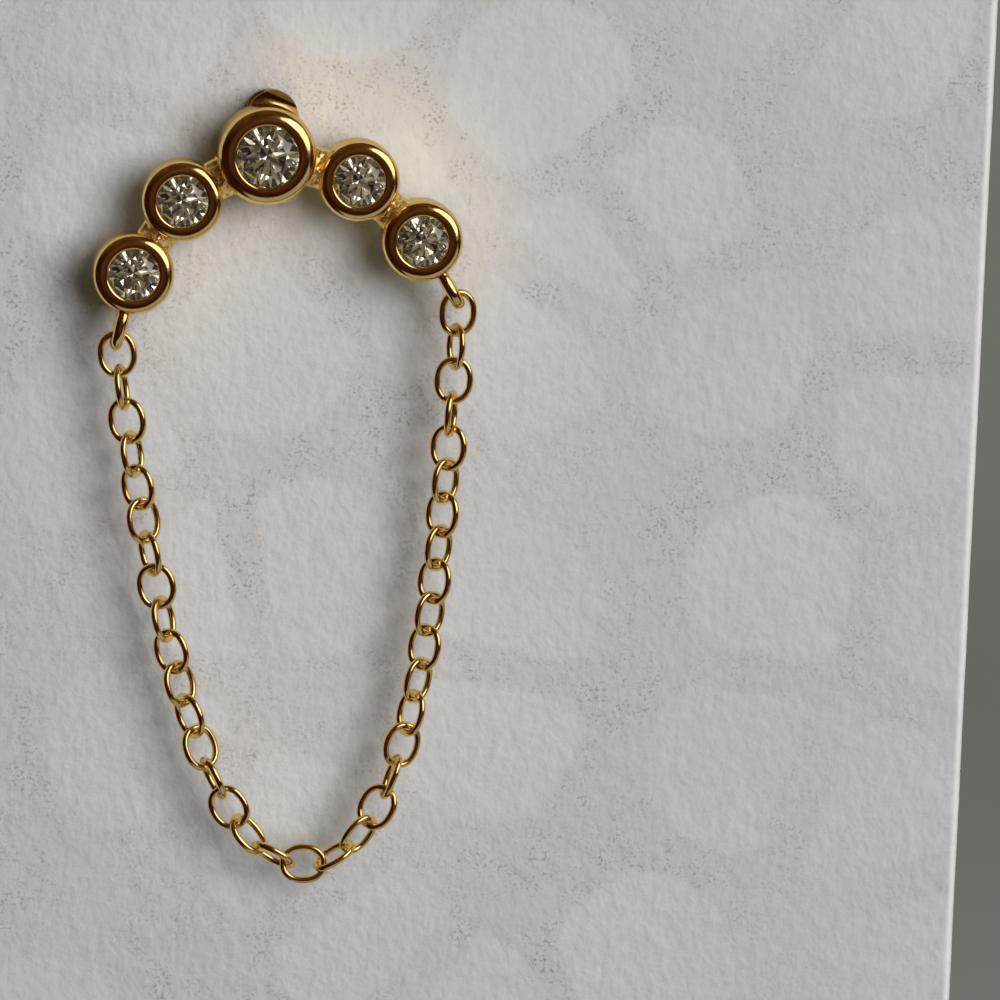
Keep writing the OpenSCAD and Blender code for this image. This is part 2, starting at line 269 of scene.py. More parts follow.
lathe, given = new_tree("lathe", [("Path Radius", "NodeSocketFloat", 1.0), ("Segments", "NodeSocketInt", 160),
                                  ("Burnish", "NodeSocketFloat", 0.004), ("Burnish Size", "NodeSocketFloat", 0.7),
                                  ("Seed", "NodeSocketFloat", 1.0), ("Material", "NodeSocketMaterial", None)])
profile = add(lathe, "GeometryNodeMeshToCurve", {"Mesh": given["Geometry"]})
circle = add(lathe, "GeometryNodeCurvePrimitiveCircle", {"Resolution": given["Segments"],
                                                         "Radius": given["Path Radius"]})
swept = add(lathe, "GeometryNodeCurveToMesh", {"Curve": circle.outputs["Curve"],
                                               "Profile Curve": profile.outputs["Curve"]})
ripple = add(lathe, "ShaderNodeTexNoise", {"W": given["Seed"], "Detail": 1.0}, noise_dimensions="4D")
frequency = add(lathe, "ShaderNodeMath", {0: 1.0, 1: given["Burnish Size"]}, operation="DIVIDE")
lathe.links.new(frequency.outputs[0], ripple.inputs["Scale"])
centred = add(lathe, "ShaderNodeVectorMath", {0: ripple.outputs["Color"], 1: (0.5, 0.5, 0.5)}, operation="SUBTRACT")
moved = add(lathe, "ShaderNodeVectorMath", {0: centred.outputs[0], "Scale": given["Burnish"]}, operation="SCALE")
rubbed = add(lathe, "GeometryNodeSetPosition", {"Geometry": swept.outputs["Mesh"], "Offset": moved.outputs[0]})
merged = add(lathe, "GeometryNodeMergeByDistance", {"Geometry": rubbed.outputs[0], "Distance": 1e-4})
end_tree(lathe, merged.outputs[0], given["Material"])
print("lathe tree:", len(lathe.nodes), "nodes")


def turned(profile_points, material, segments=160, burnish=0.004, seed=1.0):
    """Turns a closed profile of (radius, height) points, given anticlockwise, and returns its mesh."""
    radius = max(r for r, z in profile_points)
    base = bpy.data.meshes.new("profile")
    points = [(r - radius, -z, 0) for r, z in reversed(profile_points)]
    base.from_pydata(points, [(i, (i + 1) % len(points)) for i in range(len(points))], [])
    return run_tree(lathe, base, {"Path Radius": radius, "Segments": segments, "Burnish": burnish,
                                  "Seed": seed, "Material": material})


def arc(centre, r, start, stop, steps, first=0):
    """Points of an arc, in degrees."""
    return [(centre[0] + r * math.cos(math.radians(start + (stop - start) * k / steps)),
             centre[1] + r * math.sin(math.radians(start + (stop - start) * k / steps)))
            for k in range(first, steps + 1)]


# %% [markdown]
# ## The bezels
#
# Each stone stands in a rub-over bezel: a thick-walled tube with a seat cut inside, whose rim is
# pushed over the stone and burnished until it shines. The burnisher leaves a nearly flat crown
# between a tight shoulder and a small lip. Seen from the front the crown is a dark mirror, the
# shoulder holds one bright crescent where it meets the window, and the steep outer wall mirrors
# the card.
#
# The middle bezel has a closed back, which carries the post. The other four are open behind, to
# let light in under the stone.

# %% Turn the five bezels
CENTRE_BEZEL = {"outer": 4.33 / 2, "stone": 3.0, "point": 0.53, "floor": 0.4}
SIDE_BEZEL = {"outer": 3.58 / 2, "stone": 2.5, "point": 0.34, "floor": 0}
STONE_GAP, LIP_COVER, TABLE_DROP, SEAT_SHARE = 0.02, 0.13, 0.04, 0.8
PAVILION_TILT, CROWN_TILT, TABLE = 40.8, 34.5, 0.57
PAVILION = math.tan(math.radians(PAVILION_TILT)) / 2
CROWN = (1 - TABLE) * math.tan(math.radians(CROWN_TILT)) / 2
GIRDLE = 0.03
EDGE = 0.03
LIP_ROUND, FLAT_R, FLAT_IN, FLAT_OUT = 0.13, 0.95, 4, 7


def rim(lip, outer, height):
    """The rubbed-over rim from the wall to the lip: a tight shoulder, a nearly flat crown, a small lip."""
    tilt_in, tilt_out = math.radians(FLAT_IN), math.radians(FLAT_OUT)
    flat = FLAT_R * (math.sin(tilt_in) + math.sin(tilt_out))
    lip_part = LIP_ROUND * (1 - math.sin(tilt_in))
    shoulder = (outer - lip - flat - lip_part) / (1 - math.sin(tilt_out))
    crest = lip + lip_part + FLAT_R * math.sin(tilt_in)
    flat_centre = (crest, height - FLAT_R)
    out_centre = (outer - shoulder, flat_centre[1] + (FLAT_R - shoulder) * math.cos(tilt_out))
    in_centre = (lip + LIP_ROUND, flat_centre[1] + (FLAT_R - LIP_ROUND) * math.cos(tilt_in))
    return (arc(out_centre, shoulder, 0, 90 - FLAT_OUT, 14)
            + arc(flat_centre, FLAT_R, 90 - FLAT_OUT, 90 + FLAT_IN, 6, first=1)
            + arc(in_centre, LIP_ROUND, 90 + FLAT_IN, 180, 8, first=1))


def bezel_profile(outer, stone, point, floor):
    """The bezel's section: foot, wall, rounded rim, lip, seat and hollow."""
    bore, lip, seat = stone / 2 + STONE_GAP, stone / 2 - LIP_COVER, stone / 2 * SEAT_SHARE
    height = point + stone * (PAVILION + GIRDLE + CROWN) + TABLE_DROP
    low = point + stone * PAVILION - STONE_GAP
    high = low + stone * GIRDLE + 2 * STONE_GAP
    lip_low = high + bore - lip
    hollow = [(seat, floor), (0.0, floor), (0.0, 0.0)] if floor else [(seat, EDGE), (seat + EDGE, 0.0)]
    return ([(outer - EDGE, 0.0), (outer, EDGE)] + rim(lip, outer, height)
            + [(lip, lip_low + EDGE), (lip + EDGE / 2, lip_low - EDGE / 2), (bore, high), (bore, low),
               (seat, low - (bore - seat))] + hollow)


for index, stone in enumerate(STONES):
    seat, across = seat_of(stone)
    kind = CENTRE_BEZEL if stone == "stone_centre" else SIDE_BEZEL
    mesh = turned(bezel_profile(**kind), polished_gold, seed=3.0 + index)
    mesh.set_sharp_from_angle(angle=math.radians(38))
    mesh.transform(on_head @ Matrix.Translation((seat.x, seat.y, 0)))
    piece_from(stone.replace("stone", "bezel"), mesh, polished_gold, "setting", slot="gold")

# %% [markdown]
# ## The solder between them
#
# The bezels do not touch. Solder fills the space between each two and runs a little way up both
# walls, and it is the one rough thing on the head: it was left as it flowed, with soft lumps
# that catch the light. The web is a grid from wall to wall with two hollow sides, lifted by
# noise on top and closed underneath. Each end is sunk into a wall, so that no gap can show.

# %% Solder webs
HOLLOW_R, WEB_H, WEB_BITE, WEB_FOOT = 0.6, 1.50, 0.12, 0.03
WEB_CLIMB, WEB_SLOPE = 0.30, 0.50
WEB_LUMPS = [(0.12, 2.2), (0.06, 4.5), (0.008, 12)]  # height in mm, lumps to a mm
WEB_ALONG, WEB_ACROSS = 40, 36


def web_mesh(start, start_r, stop, stop_r, seed):
    """Solder between two bezels, as a closed mesh."""
    line = stop - start
    gap = line.length
    near, far = start_r + HOLLOW_R, stop_r + HOLLOW_R
    waist = (near * near - far * far + gap * gap) / (2 * gap)
    side = math.sqrt(near * near - waist * waist)

    def half_width(x):
        from_waist = abs(x - waist)
        edge = min(side * start_r / near, side * stop_r / far)
        return min(edge, side - math.sqrt(max(HOLLOW_R ** 2 - from_waist ** 2, 0.0)))

    points = []
    for level in ("top", "foot"):
        for i in range(WEB_ALONG + 1):
            s = i / WEB_ALONG
            x_line = (start_r - WEB_BITE) * (1 - s) + (gap - stop_r + WEB_BITE) * s
            for j in range(WEB_ACROSS + 1):
                t = 2 * j / WEB_ACROSS - 1
                y = t * half_width(x_line)
                x_near = math.sqrt((start_r - WEB_BITE) ** 2 - y * y)
                x_far = gap - math.sqrt((stop_r - WEB_BITE) ** 2 - y * y)
                x = x_near * (1 - s) + x_far * s
                climb = WEB_CLIMB * abs(2 * s - 1) ** 4
                spot = Vector((x, y, seed))
                lumps = sum(height * noise.noise(spot * per_mm) for height, per_mm in WEB_LUMPS)
                z = WEB_H + climb + lumps - WEB_SLOPE * t * t if level == "top" else WEB_FOOT
                points.append((x, y, z))
    row, sheet = WEB_ACROSS + 1, (WEB_ALONG + 1) * (WEB_ACROSS + 1)
    faces = []
    for i in range(WEB_ALONG):
        for j in range(WEB_ACROSS):
            a = i * row + j
            faces += [(a, a + row, a + row + 1, a + 1),
                      (sheet + a, sheet + a + 1, sheet + a + row + 1, sheet + a + row)]
    border = ([j for j in range(row)] + [i * row + WEB_ACROSS for i in range(1, WEB_ALONG + 1)]
              + [WEB_ALONG * row + j for j in range(WEB_ACROSS - 1, -1, -1)]
              + [i * row for i in range(WEB_ALONG - 1, 0, -1)])
    faces += [(a, b, sheet + b, sheet + a) for a, b in zip(border, border[1:] + border[:1])]
    turn = Matrix.Rotation(math.atan2(line.y, line.x), 4, "Z")
    return mesh_of(points, faces, on_head @ Matrix.Translation((start.x, start.y, 0)) @ turn, smooth_below=60)


for index in range(len(STONES) - 1):
    pair = STONES[index:index + 2]
    radii = [(CENTRE_BEZEL if s == "stone_centre" else SIDE_BEZEL)["outer"] for s in pair]
    mesh = web_mesh(seat_of(pair[0])[0], radii[0], seat_of(pair[1])[0], radii[1], seed=5.0 + 7 * index)
    piece_from(f"solder_{index + 1}", mesh, solder_gold, "setting", slot="gold")

# %% [markdown]
# ## Geometry Nodes: oval rings on points
#
# The chain is one shape repeated, so it is a job for instances. Each link is an oval ring of
# round wire. A circle is bent into a soft oval, with an exponent that says how full its corners
# are, and a small circle is swept along it as the wire. The ring is then put on every point
# that comes in, turned by the angles that the point carries in its attribute `turn`.
#
# The two loops on the end bezels are the same shape in thicker wire, so the same tree makes
# them from one point each.

# %% The ring tree
rings, given = new_tree("oval_rings", [("Length", "NodeSocketFloat", 2.0), ("Width", "NodeSocketFloat", 1.5),
                                       ("Wire", "NodeSocketFloat", 0.3), ("Fullness", "NodeSocketFloat", 2.15),
                                       ("Steps", "NodeSocketInt", 72), ("Sides", "NodeSocketInt", 16),
                                       ("Material", "NodeSocketMaterial", None)])
circle = add(rings, "GeometryNodeCurvePrimitiveCircle", {"Resolution": given["Steps"], "Radius": 1.0})
place = add(rings, "ShaderNodeSeparateXYZ", {0: add(rings, "GeometryNodeInputPosition").outputs[0]})
power = add(rings, "ShaderNodeMath", {0: 2.0, 1: given["Fullness"]}, operation="DIVIDE")


def oval_part(value, size):
    """One coordinate of the oval: the circle's, raised to a power with its sign kept, times the half size."""
    plain = add(rings, "ShaderNodeMath", {0: value}, operation="ABSOLUTE")
    bent = add(rings, "ShaderNodeMath", {0: plain.outputs[0], 1: power.outputs[0]}, operation="POWER")
    sign = add(rings, "ShaderNodeMath", {0: value}, operation="SIGN")
    signed = add(rings, "ShaderNodeMath", {0: bent.outputs[0], 1: sign.outputs[0]}, operation="MULTIPLY")
    open_size = add(rings, "ShaderNodeMath", {0: size, 1: given["Wire"]}, operation="SUBTRACT")
    half = add(rings, "ShaderNodeMath", {0: open_size.outputs[0], 1: 0.5}, operation="MULTIPLY")
    return add(rings, "ShaderNodeMath", {0: signed.outputs[0], 1: half.outputs[0]}, operation="MULTIPLY").outputs[0]


oval = add(rings, "ShaderNodeCombineXYZ", {"X": oval_part(place.outputs["X"], given["Length"]),
                                           "Z": oval_part(place.outputs["Y"], given["Width"])})
path = add(rings, "GeometryNodeSetPosition", {"Geometry": circle.outputs["Curve"], "Position": oval.outputs[0]})
half_wire = add(rings, "ShaderNodeMath", {0: given["Wire"], 1: 0.5}, operation="MULTIPLY")
section = add(rings, "GeometryNodeCurvePrimitiveCircle", {"Resolution": given["Sides"],
                                                          "Radius": half_wire.outputs[0]})
ring = add(rings, "GeometryNodeCurveToMesh", {"Curve": path.outputs[0], "Profile Curve": section.outputs["Curve"]})
turn = add(rings, "GeometryNodeInputNamedAttribute", {"Name": "turn"}, data_type="FLOAT_VECTOR")
spin = add(rings, "FunctionNodeEulerToRotation", {"Euler": turn.outputs["Attribute"]})
placed = add(rings, "GeometryNodeInstanceOnPoints", {"Points": given["Geometry"], "Instance": ring.outputs["Mesh"],
                                                     "Rotation": spin.outputs[0]})
end_tree(rings, placed.outputs[0], given["Material"])


def rings_on(places, turns, material, **sizes):
    """Rings at the given places, each turned by its own Euler angles."""
    base = bpy.data.meshes.new("places")
    base.from_pydata([tuple(p) for p in places], [], [])
    attribute = base.attributes.new("turn", "FLOAT_VECTOR", "POINT")
    attribute.data.foreach_set("vector", [v for t in turns for v in t])
    return run_tree(rings, base, {**sizes, "Material": material})


print("ring tree:", len(rings.nodes), "nodes")

# %% [markdown]
# ## The chain
#
# A chain hangs in the curve that its own weight gives it: every link adds the same load, so the
# slope grows by one equal step from link to link. The middle of each link comes from its CAD
# part's box. Its slope follows that rule, and its twist about its own length is the one thing
# chosen link by link, because real links lie a little differently each time they are hung.

# %% Thirty-six links
LINK_STEP, LINK_LOW = 0.58788, 18.0711
TWISTS = [0, 75, -20, 58, -38, 33, -65, -10, 58, -34, 40, -52, 30, -76, -14, 56, -67, 6, 77, -46, 25, 85, -20, 55,
          -46, 40, -40, 38, -46, 40, -46, 28, -74, -2, 72, -14]
LINK = {"Length": 2.135, "Width": 1.77, "Wire": 0.30, "Fullness": 2.2}

links = sorted(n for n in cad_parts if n.startswith("link_"))
middles = [(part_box(n)[0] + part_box(n)[1]) / 2 / MM for n in links]
slopes = [math.atan((i + 1 - LINK_LOW) * LINK_STEP) for i in range(len(links))]
turns = [(-math.radians(TWISTS[i % len(TWISTS)]), -slopes[i], 0) for i in range(len(links))]
chain_mesh = rings_on(middles, turns, wire_gold, **LINK)
chain_mesh.transform(Matrix.Scale(MM, 4))
piece_from("chain", chain_mesh, wire_gold, *links, slot="gold")
reach = [min(v.co[i] for v in chain_mesh.vertices) / MM for i in (0, 2)]
print("links:", len(links), "lowest and leftmost point:", [round(v, 2) for v in reach])

# %% [markdown]
# ## The loops and the post
#
# A loop of thicker wire stands edge on at the foot of each end bezel and holds the last link.
# The post is a plain rod, turned on the lathe with a rounded tip so that it finds its hole.

# %% Loops and post
LOOP_WIRE, LOOP_REACH, LOOP_W = 0.56, 1.75, 1.7
LOOP_ROOT = 0.85 * (SIDE_BEZEL["outer"] - SIDE_BEZEL["stone"] / 2 - STONE_GAP)
LOOP_LEVEL = (SIDE_BEZEL["point"] + 2.5 * (PAVILION + GIRDLE + CROWN) + TABLE_DROP) / 2
LOOP_LEAN = {"stone_left_end": -20, "stone_right_end": 24}

for stone, lean in LOOP_LEAN.items():
    way = Vector((math.sin(math.radians(lean)), -math.cos(math.radians(lean))))
    length = LOOP_ROOT + LOOP_REACH
    middle = seat_of(stone)[0] + (SIDE_BEZEL["outer"] - LOOP_ROOT + length / 2) * way
    mesh = rings_on([(middle.x, middle.y, LOOP_LEVEL)], [(0, 0, math.atan2(way.y, way.x))], polished_gold,
                    Length=length, Width=LOOP_W, Wire=LOOP_WIRE, Fullness=2.3, Steps=80, Sides=24)
    mesh.transform(on_head)
    piece_from(stone.replace("stone", "loop").replace("_end", ""), mesh, polished_gold, "setting", slot="gold")

POST_R, POST_L, POST_TIP, POST_BLUNT, POST_SUNK = 0.4, 10.0, 0.4, 0.35, 0.2
tip = [(POST_R * (POST_BLUNT + (1 - POST_BLUNT) * math.sin(a)), -POST_L + POST_TIP * (1 - math.cos(a)))
       for a in (math.radians(90 * k / 8) for k in range(9))]
post_profile = [(0.0, -POST_L)] + tip + [(POST_R, POST_SUNK), (0.0, POST_SUNK)]
mesh = turned(post_profile, polished_gold, segments=48, burnish=0.001)
mesh.set_sharp_from_angle(angle=math.radians(40))
mesh.transform(on_head)
piece_from("ear_post", mesh, polished_gold, "setting", slot="gold")

# %% [markdown]
# ## The nut
#
# Behind the head a small nut holds the earring to its card: one strip of springy metal with its
# two ends curled back and in until they grip the post. We draw the strip from its side, with
# both curls, and stretch that section across. Then we keep only what lies inside the rounded
# outline that the strip has from the front, drill the hole, and take off the sharp edges.

# %% The curled nut
NUT_L, NUT_W, NUT_T, NUT_TURN, NUT_FRONT = 4.35, 2.27, 0.25, 60, 0.15
NUT_BORE, NUT_BEVEL = 0.46, 0.09
CURL_R = (NUT_L / 2 - NUT_BORE) / 2
CURL_X = NUT_L / 2 - CURL_R
PLATE_Z = -NUT_FRONT


def prism(outline, low, high, axis="Z"):
    """A closed prism over an anticlockwise outline, along z or along y."""
    n = len(outline)
    lift = (lambda x, y, z: (x, y, z)) if axis == "Z" else (lambda x, z, y: (x, -y, z))
    points = [lift(x, y, z) for z in (low, high) for x, y in outline]
    faces = [tuple(reversed(range(n))), tuple(range(n, 2 * n))]
    faces += [(k, (k + 1) % n, n + (k + 1) % n, n + k) for k in range(n)]
    mesh = bpy.data.meshes.new("prism")
    mesh.from_pydata(points, [], faces)
    made = bmesh.new()
    made.from_mesh(mesh)
    bmesh.ops.recalc_face_normals(made, faces=made.faces)
    made.to_mesh(mesh)
    made.free()
    return mesh


def carved(mesh, *steps, bevel=0.0):
    """Cuts or keeps with other meshes, one after another, softens the edges and gives a plain mesh."""
    hosts = [bpy.data.objects.new("host", m) for m in (mesh, *(m for _, m in steps))]
    for host in hosts:
        scene.collection.objects.link(host)
    for (operation, _), tool in zip(steps, hosts[1:]):
        cut = hosts[0].modifiers.new("cut", "BOOLEAN")
        cut.operation, cut.object, cut.solver = operation, tool, "EXACT"
    if bevel:
        soften = hosts[0].modifiers.new("soften", "BEVEL")
        soften.width, soften.segments, soften.limit_method = bevel, 3, "ANGLE"
        soften.angle_limit = math.radians(40)
    graph = bpy.context.evaluated_depsgraph_get()
    plain = bpy.data.meshes.new_from_object(hosts[0].evaluated_get(graph), depsgraph=graph)
    for host in hosts:
        bpy.data.objects.remove(host)
    return plain


def round_outline(radius, steps=48, centre=(0, 0)):
    """A circle as an anticlockwise outline."""
    return arc(centre, radius, 0, 360, steps)[:-1]


CURL_ANGLE, CURL_STEPS = 262, 40
curl_centre = (CURL_X, PLATE_Z - CURL_R)
outside = arc(curl_centre, CURL_R, 90, 90 - CURL_ANGLE, CURL_STEPS)
inside = arc(curl_centre, CURL_R - NUT_T, 90 - CURL_ANGLE, 90, CURL_STEPS)
half_strip = outside + inside
strip = [(-x, z) for x, z in reversed(outside)] + half_strip + [(-x, z) for x, z in reversed(inside)]
ends = (arc(((NUT_L - NUT_W) / 2, 0), NUT_W / 2, -90, 90, 40) + arc(((NUT_W - NUT_L) / 2, 0), NUT_W / 2, 90, 270, 40))
mesh = carved(prism(strip, -NUT_W, NUT_W, axis="Y"), ("INTERSECT", prism(ends, -4, 2)),
              ("DIFFERENCE", prism(round_outline(NUT_BORE), -4, 4)), bevel=NUT_BEVEL)
mesh.transform(on_head @ Matrix.Rotation(math.radians(NUT_TURN), 4, "Z"))
mesh.shade_smooth()
mesh.set_sharp_from_angle(angle=math.radians(40))
piece_from("curled_nut", mesh, nut_gold, "ear_nut", slot="gold")

# %% [markdown]
# ## The stones
#
# The CAD part already has the 57 facets of a round brilliant, and flat facets with crisp edges
# are just what a cut stone needs, so the stones stay and get a better material. Clear stone
# bends light far more than glass does, which is why the pavilion mirrors almost everything that
# comes in through the table. A faint warm body tint and a trace of haze keep the five from
# looking like holes in the metal.

# %% Clear stone
clear_stone = bpy.data.materials.new("clear_stone")
clear_stone.use_nodes = True
tree = clear_stone.node_tree
tree.nodes.clear()
place = add(tree, "ShaderNodeTexCoord").outputs["Object"]
haze = add(tree, "ShaderNodeTexNoise", {"Vector": place, "Scale": 1 / (0.5 * MM), "Detail": 2.0})
tint = add(tree, "ShaderNodeValToRGB", {"Fac": haze.outputs["Fac"]})
tint.color_ramp.elements[0].position, tint.color_ramp.elements[0].color = 0.3, (0.94, 0.92, 0.85, 1)
tint.color_ramp.elements[1].position, tint.color_ramp.elements[1].color = 0.7, (0.99, 0.98, 0.94, 1)
polish = add(tree, "ShaderNodeMapRange", {"Value": haze.outputs["Fac"], "To Min": 0.0, "To Max": 0.01})
shader = add(tree, "ShaderNodeBsdfPrincipled", {"Base Color": tint.outputs["Color"], "Roughness": polish.outputs[0],
                                                "Transmission Weight": 1.0, "IOR": 2.3})
add(tree, "ShaderNodeOutputMaterial", {"Surface": shader.outputs["BSDF"]})
for stone in STONES:
    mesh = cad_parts[stone].data
    mesh.materials.clear()
    mesh.materials.append(clear_stone)
print("stones dressed:", len(STONES))

# %% [markdown]
# ## The card
#
# The card is thick cotton paper. Its face has a soft tooth that can be felt, its cut edges are
# rounded, and it is printed very faintly with packed pale rounds and freckles between them. Near
# its left and right edges the paper is painted almost white: a painted highlight for the light
# that the rounded cut edges catch. The print is so faint that it reads as an uneven grey at first.
#
# The shape comes first: a slab on a grid that is fine at its edges, so that the edge can be
# rounded. The tooth is real relief, made by a third tree that moves the surface along its
# normal by noise.

# %% The card's slab
CARD_W, CARD_H, CARD_T, CARD_TOP, CARD_LEAN = 65.5, 65.0, 0.8, 17.0, 4.4
CARD_HOLE, CARD_ROUND = 0.45, 0.32
EDGE_STEPS = [0, 0.02, 0.05, 0.1, 0.16, 0.23, 0.32]
CARD_GRID = 170


def grid_line(length):
    """Grid places along one side, fine at both ends."""
    inner = np.linspace(EDGE_STEPS[-1], length - EDGE_STEPS[-1], CARD_GRID)
    return np.concatenate([EDGE_STEPS[:-1], inner, [length - e for e in reversed(EDGE_STEPS[:-1])]])


def edge_drop(x, z):
    """How far the face falls back at a place, near the rounded edges."""
    from_edge = min(x, CARD_W - x, z, CARD_H - z)
    short = max(CARD_ROUND - from_edge, 0.0)
    return CARD_ROUND - math.sqrt(max(CARD_ROUND ** 2 - short ** 2, 0.0))


xs, zs = grid_line(CARD_W), grid_line(CARD_H)
points, faces = [], []
for back in (False, True):
    for z in zs:
        for x in xs:
            drop = edge_drop(x, z)
            points.append((x - CARD_W / 2, CARD_T - drop if back else drop, CARD_TOP - CARD_H + z))
across, sheet = len(xs), len(xs) * len(zs)
for j in range(len(zs) - 1):
    for i in range(len(xs) - 1):
        a = j * across + i
        faces += [(a, a + 1, a + across + 1, a + across),
                  (sheet + a, sheet + a + across, sheet + a + across + 1, sheet + a + 1)]
rim = ([i for i in range(across)] + [j * across + across - 1 for j in range(1, len(zs))]
       + [sheet - 1 - i for i in range(1, across)] + [j * across for j in range(len(zs) - 2, 0, -1)])
faces += [(b, a, sheet + a, sheet + b) for a, b in zip(rim, rim[1:] + rim[:1])]
slab = bpy.data.meshes.new("slab")
slab.from_pydata(points, [], faces)
print("card slab:", len(points), "points")

# %% The paper's tooth
tooth_tree, given = new_tree("paper_tooth", [("Tooth", "NodeSocketFloat", 0.012),
                                             ("Tooth Size", "NodeSocketFloat", 0.8),
                                             ("Material", "NodeSocketMaterial", None)])
frequency = add(tooth_tree, "ShaderNodeMath", {0: 1.0, 1: given["Tooth Size"]}, operation="DIVIDE")
felt = add(tooth_tree, "ShaderNodeTexNoise", {"Scale": frequency.outputs[0], "Detail": 3.0, "Roughness": 0.6})
level = add(tooth_tree, "ShaderNodeMath", {0: felt.outputs["Fac"], 1: 0.75}, operation="SUBTRACT")
height = add(tooth_tree, "ShaderNodeMath", {0: level.outputs[0], 1: given["Tooth"]}, operation="MULTIPLY")
normal = add(tooth_tree, "GeometryNodeInputNormal")
lift = add(tooth_tree, "ShaderNodeVectorMath", {0: normal.outputs[0], "Scale": height.outputs[0]}, operation="SCALE")
felted = add(tooth_tree, "GeometryNodeSetPosition", {"Geometry": given["Geometry"], "Offset": lift.outputs[0]})
end_tree(tooth_tree, felted.outputs[0], given["Material"])

# %% [markdown]
# The paper's colour is built up as it is in the hand: a grey-white stock, fibres that run
# mostly one way, the faint printed rounds, and fine dull freckles in the gaps between them. A
# Voronoi texture gives each round its own cell. Its distance to the cell's edge is the gap, and
# the distance to the cell's middle keeps the corners round. Slow clouds of noise fade the print
# here and there. Fibres and felt also lift the surface by a few hundredths of a millimetre, which
# is what the low light picks out.

# %% The paper's material
def between(tree, value, low, high, to_low=0.0, to_high=1.0):
    """Maps a value between two limits onto two others, and holds it there."""
    return add(tree, "ShaderNodeMapRange", {"Value": value, "From Min": low, "From Max": high, "To Min": to_low,
                                            "To Max": to_high}).outputs[0]


def maths(tree, operation, first, second=0.0):
    """One sum, product or comparison."""
    return add(tree, "ShaderNodeMath", {0: first, 1: second}, operation=operation).outputs[0]


FIBRE_MM, FELT_MM, FLECK_MM, CLUMP_MM, CLOUD_MM, PATCH_MM, ROUND_MM = 0.45, 1.1, 0.17, 0.9, 11, 2.6, 8.8
GAP_GREY, ROUND_GREY = (0.694, 0.686, 0.702, 1), (0.727, 0.734, 0.757, 1)
# The second colour here is a painted highlight for the light on the card's cut edges.
FRECKLE_GREY, PAINTED_EDGE_HIGHLIGHT = (0.33, 0.29, 0.29, 1), (0.93, 0.93, 0.93, 1)

paper = bpy.data.materials.new("cotton_paper")
paper.use_nodes = True
tree = paper.node_tree
tree.nodes.clear()
place = add(tree, "ShaderNodeTexCoord").outputs["Object"]
flat = add(tree, "ShaderNodeMapping", {"Vector": place, "Rotation": (math.radians(90), 0, math.radians(-CARD_LEAN))})
flat = flat.outputs[0]
long_way = add(tree, "ShaderNodeMapping", {"Vector": flat, "Rotation": (0, 0, math.radians(-14)),
                                           "Scale": (1, 0.62, 1)}).outputs[0]
fibres = add(tree, "ShaderNodeTexNoise", {"Vector": long_way, "Scale": 1 / (FIBRE_MM * MM), "Detail": 1.5,
                                          "Roughness": 0.4, "Distortion": 0.25})
felt = add(tree, "ShaderNodeTexNoise", {"Vector": flat, "Scale": 1 / (FELT_MM * MM), "Detail": 3.0, "Roughness": 0.6})
flecks = add(tree, "ShaderNodeTexNoise", {"Vector": flat, "Scale": 1 / (FLECK_MM * MM), "Detail": 1.5,
                                          "Roughness": 0.6})
clumps = add(tree, "ShaderNodeTexNoise", {"Vector": flat, "Scale": 1 / (CLUMP_MM * MM), "Detail": 1.0})
clouds = add(tree, "ShaderNodeTexNoise", {"Vector": flat, "Scale": 1 / (CLOUD_MM * MM), "Detail": 3.0})
patches = add(tree, "ShaderNodeTexNoise", {"Vector": flat, "Scale": 1 / (PATCH_MM * MM), "Detail": 2.0})
wander = add(tree, "ShaderNodeVectorMath", {0: patches.outputs["Color"], "Scale": 0.9 * MM}, operation="SCALE")
bent = add(tree, "ShaderNodeVectorMath", {0: flat, 1: wander.outputs[0]}, operation="ADD").outputs[0]
cell = {"Vector": bent, "Scale": 1 / (ROUND_MM * MM), "Randomness": 0.78}
to_edge = add(tree, "ShaderNodeTexVoronoi", cell, feature="DISTANCE_TO_EDGE", voronoi_dimensions="2D")
to_middle = add(tree, "ShaderNodeTexVoronoi", cell, feature="F1", voronoi_dimensions="2D")
corner = maths(tree, "SUBTRACT", 0.57, to_middle.outputs["Distance"])
inside = maths(tree, "MINIMUM", to_edge.outputs["Distance"], corner)
faded = between(tree, clouds.outputs["Fac"], 0.36, 0.56, 0.75, 0.0)
rounds = maths(tree, "MAXIMUM", between(tree, inside, 0.075, 0.125), faded)
stock = add(tree, "ShaderNodeMix", {"Factor": rounds, "A": GAP_GREY, "B": ROUND_GREY}, data_type="RGBA").outputs[2]
speck = maths(tree, "MULTIPLY", between(tree, flecks.outputs["Fac"], 0.535, 0.64),
              maths(tree, "MULTIPLY", between(tree, patches.outputs["Fac"], 0.38, 0.58),
                    between(tree, clumps.outputs["Fac"], 0.38, 0.56)))
freckle = maths(tree, "MULTIPLY", maths(tree, "MULTIPLY", maths(tree, "SUBTRACT", 1.06, rounds), speck), 0.50)
freckled = add(tree, "ShaderNodeMix", {"Factor": freckle, "A": stock, "B": FRECKLE_GREY}, data_type="RGBA").outputs[2]
shade = maths(tree, "MULTIPLY", between(tree, fibres.outputs["Fac"], 0.25, 0.75, 0.98, 1.02),
              between(tree, clouds.outputs["Fac"], 0.3, 0.7, 0.975, 1.02))
toned = add(tree, "ShaderNodeVectorMath", {0: freckled, "Scale": shade}, operation="SCALE").outputs[0]
sides = add(tree, "ShaderNodeSeparateXYZ", {0: flat}).outputs
